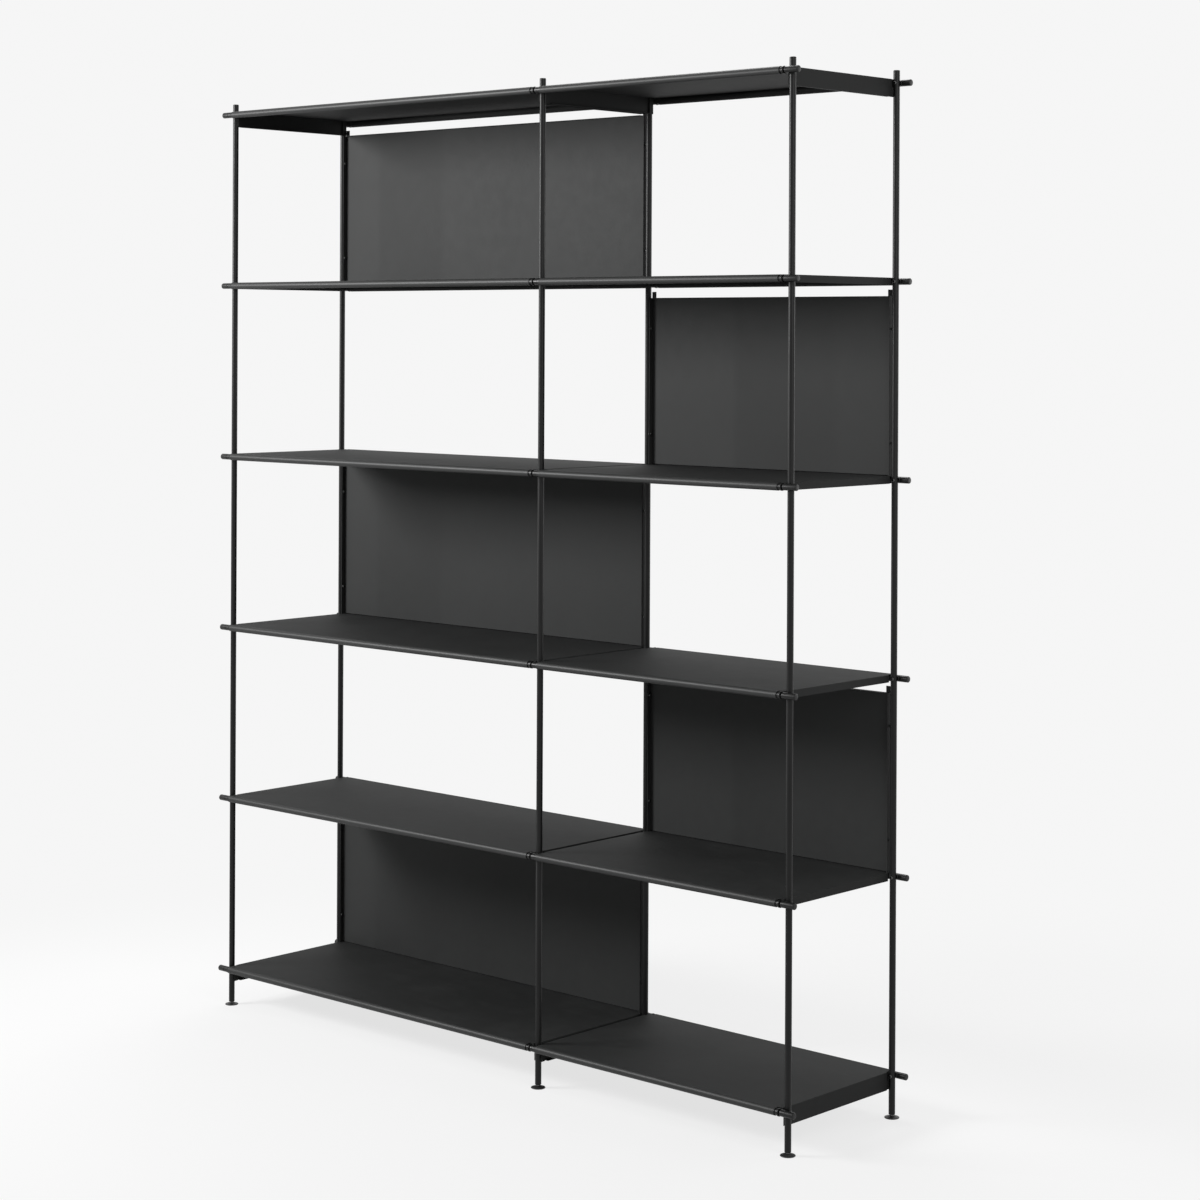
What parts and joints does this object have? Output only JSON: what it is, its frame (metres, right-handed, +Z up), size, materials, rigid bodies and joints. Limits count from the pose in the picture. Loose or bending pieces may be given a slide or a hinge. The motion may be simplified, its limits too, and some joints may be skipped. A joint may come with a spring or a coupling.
{
  "type": "double sided library shelving",
  "caption": "Open steel library shelving on slim round uprights, with two bays of thin trays, staggered rear panels and levelling feet.",
  "frame": {"origin": "on the floor, under the middle of the whole shelving", "axes": "+X along the trays from the long bay to the short one, +Y from the picture's front to the side with the panels, +Z up"},
  "size_m": [1.549, 0.3424, 1.909],
  "materials": {
    "upright_coat": "satin black powder coat",
    "tray_coat": "fine matte anthracite powder coat",
    "panel_coat": "fine matte anthracite powder coat",
    "pin_coat": "satin black powder coat",
    "ring_coat": "satin black powder coat",
    "screw_steel": "blackened steel",
    "pad_plastic": "matte black nylon",
    "stud_zinc": "zinc plated"
  },
  "bodies": {
    "shelving": {"upright_front_left": "upright_coat", "upright_front_mid": "upright_coat", "upright_front_right": "upright_coat", "upright_rear_left": "upright_coat", "upright_rear_mid": "upright_coat", "upright_rear_right": "upright_coat", "shelf_left_1": "tray_coat", "shelf_left_2": "tray_coat", "shelf_left_3": "tray_coat", "shelf_left_4": "tray_coat", "shelf_left_5": "tray_coat", "shelf_left_6": "tray_coat", "shelf_right_1": "tray_coat", "shelf_right_2": "tray_coat", "shelf_right_3": "tray_coat", "shelf_right_4": "tray_coat", "shelf_right_5": "tray_coat", "shelf_right_6": "tray_coat", "back_panel_left_1": "panel_coat", "back_panel_left_3": "panel_coat", "back_panel_left_5": "panel_coat", "back_panel_right_2": "panel_coat", "back_panel_right_4": "panel_coat", "link_stubs_1": "pin_coat", "end_pins_1": "pin_coat", "socket_rings_1": "ring_coat", "link_stubs_2": "pin_coat", "end_pins_2": "pin_coat", "socket_rings_2": "ring_coat", "link_stubs_3": "pin_coat", "end_pins_3": "pin_coat", "socket_rings_3": "ring_coat", "link_stubs_4": "pin_coat", "end_pins_4": "pin_coat", "socket_rings_4": "ring_coat", "link_stubs_5": "pin_coat", "end_pins_5": "pin_coat", "socket_rings_5": "ring_coat", "link_stubs_6": "pin_coat", "end_pins_6": "pin_coat", "socket_rings_6": "ring_coat", "stub_caps_left": "pin_coat", "stub_caps_right": "pin_coat", "fixing_screws_front": "screw_steel", "fixing_screws_rear": "screw_steel", "panel_screws": "screw_steel"},
    "foot_pad_front_left": {"foot_pad_front_left": "pad_plastic"},
    "foot_stud_front_left": {"foot_stud_front_left": "stud_zinc"},
    "foot_pad_front_mid": {"foot_pad_front_mid": "pad_plastic"},
    "foot_stud_front_mid": {"foot_stud_front_mid": "stud_zinc"},
    "foot_pad_front_right": {"foot_pad_front_right": "pad_plastic"},
    "foot_stud_front_right": {"foot_stud_front_right": "stud_zinc"},
    "foot_pad_rear_left": {"foot_pad_rear_left": "pad_plastic"},
    "foot_stud_rear_left": {"foot_stud_rear_left": "stud_zinc"},
    "foot_pad_rear_mid": {"foot_pad_rear_mid": "pad_plastic"},
    "foot_stud_rear_mid": {"foot_stud_rear_mid": "stud_zinc"},
    "foot_pad_rear_right": {"foot_pad_rear_right": "pad_plastic"},
    "foot_stud_rear_right": {"foot_stud_rear_right": "stud_zinc"}
  },
  "joints": [
    {"name": "foot_travel_front_left", "type": "slide", "parent": "shelving", "child": "foot_pad_front_left", "axis": [0, 0, -1], "range_m": [-0.0015, 0.008]},
    {"name": "foot_screw_front_left", "type": "hinge", "parent": "foot_pad_front_left", "child": "foot_stud_front_left", "pos_m": [-0.75, -0.1525, 0.01], "axis": [0, 0, -1], "range_deg": [-540, 2880]},
    {"name": "foot_travel_front_mid", "type": "slide", "parent": "shelving", "child": "foot_pad_front_mid", "axis": [0, 0, -1], "range_m": [-0.0015, 0.008]},
    {"name": "foot_screw_front_mid", "type": "hinge", "parent": "foot_pad_front_mid", "child": "foot_stud_front_mid", "pos_m": [0.15, -0.1525, 0.01], "axis": [0, 0, -1], "range_deg": [-540, 2880]},
    {"name": "foot_travel_front_right", "type": "slide", "parent": "shelving", "child": "foot_pad_front_right", "axis": [0, 0, -1], "range_m": [-0.0015, 0.008]},
    {"name": "foot_screw_front_right", "type": "hinge", "parent": "foot_pad_front_right", "child": "foot_stud_front_right", "pos_m": [0.75, -0.1525, 0.01], "axis": [0, 0, -1], "range_deg": [-540, 2880]},
    {"name": "foot_travel_rear_left", "type": "slide", "parent": "shelving", "child": "foot_pad_rear_left", "axis": [0, 0, -1], "range_m": [-0.0015, 0.008]},
    {"name": "foot_screw_rear_left", "type": "hinge", "parent": "foot_pad_rear_left", "child": "foot_stud_rear_left", "pos_m": [-0.75, 0.1525, 0.01], "axis": [0, 0, -1], "range_deg": [-540, 2880]},
    {"name": "foot_travel_rear_mid", "type": "slide", "parent": "shelving", "child": "foot_pad_rear_mid", "axis": [0, 0, -1], "range_m": [-0.0015, 0.008]},
    {"name": "foot_screw_rear_mid", "type": "hinge", "parent": "foot_pad_rear_mid", "child": "foot_stud_rear_mid", "pos_m": [0.15, 0.1525, 0.01], "axis": [0, 0, -1], "range_deg": [-540, 2880]},
    {"name": "foot_travel_rear_right", "type": "slide", "parent": "shelving", "child": "foot_pad_rear_right", "axis": [0, 0, -1], "range_m": [-0.0015, 0.008]},
    {"name": "foot_screw_rear_right", "type": "hinge", "parent": "foot_pad_rear_right", "child": "foot_stud_rear_right", "pos_m": [0.75, 0.1525, 0.01], "axis": [0, 0, -1], "range_deg": [-540, 2880]}
  ],
  "couplings": [
    {"joint": "foot_screw_front_left", "follows": "foot_travel_front_left", "rad_per_m": 6283.2},
    {"joint": "foot_screw_front_mid", "follows": "foot_travel_front_mid", "rad_per_m": 6283.2},
    {"joint": "foot_screw_front_right", "follows": "foot_travel_front_right", "rad_per_m": 6283.2},
    {"joint": "foot_screw_rear_left", "follows": "foot_travel_rear_left", "rad_per_m": 6283.2},
    {"joint": "foot_screw_rear_mid", "follows": "foot_travel_rear_mid", "rad_per_m": 6283.2},
    {"joint": "foot_screw_rear_right", "follows": "foot_travel_rear_right", "rad_per_m": 6283.2}
  ]
}
